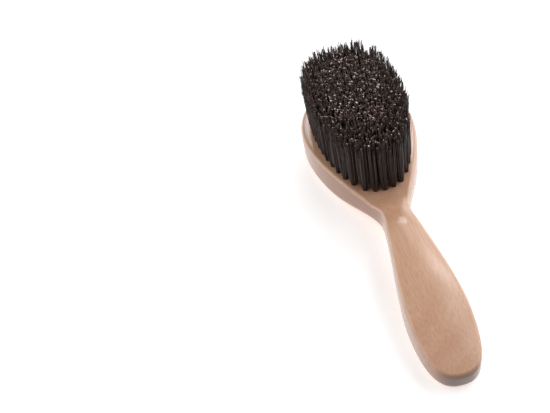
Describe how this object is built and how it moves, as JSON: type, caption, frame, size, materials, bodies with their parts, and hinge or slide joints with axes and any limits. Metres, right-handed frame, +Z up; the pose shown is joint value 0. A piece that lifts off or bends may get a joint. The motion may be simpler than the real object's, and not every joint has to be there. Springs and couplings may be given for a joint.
{
  "type": "beard brush",
  "caption": "Beard brush with an oval wooden head, narrow arched neck and rounded handle, filled with a dense flat-trimmed block of dark bristle tufts.",
  "frame": {"origin": "middle of the brush's length and width, on the plane that its back lies on", "axes": "+Z is up, the way the bristles point; +X runs along the brush from the handle's end to the tip of the head; +Y completes a right-handed frame"},
  "size_m": [0.177, 0.0542, 0.0415],
  "materials": {
    "wood": "satin clear lacquer over pale pinkish beech",
    "bristle": "natural black-brown boar bristle, trimmed flat",
    "anchor_wire": "drawn flat wire, cut ends"
  },
  "bodies": {
    "root": {"stock": "wood", "tuft_row_01": "bristle", "tuft_row_02": "bristle", "tuft_row_03": "bristle", "tuft_row_04": "bristle", "tuft_row_05": "bristle", "tuft_row_06": "bristle", "tuft_row_07": "bristle", "tuft_row_08": "bristle", "tuft_row_09": "bristle", "tuft_row_10": "bristle", "tuft_row_11": "bristle", "tuft_row_12": "bristle", "tuft_row_13": "bristle", "tuft_row_14": "bristle", "tuft_row_15": "bristle", "anchor_row_01": "anchor_wire", "anchor_row_02": "anchor_wire", "anchor_row_03": "anchor_wire", "anchor_row_04": "anchor_wire", "anchor_row_05": "anchor_wire", "anchor_row_06": "anchor_wire", "anchor_row_07": "anchor_wire", "anchor_row_08": "anchor_wire", "anchor_row_09": "anchor_wire", "anchor_row_10": "anchor_wire", "anchor_row_11": "anchor_wire", "anchor_row_12": "anchor_wire", "anchor_row_13": "anchor_wire", "anchor_row_14": "anchor_wire", "anchor_row_15": "anchor_wire"}
  },
  "joints": []
}
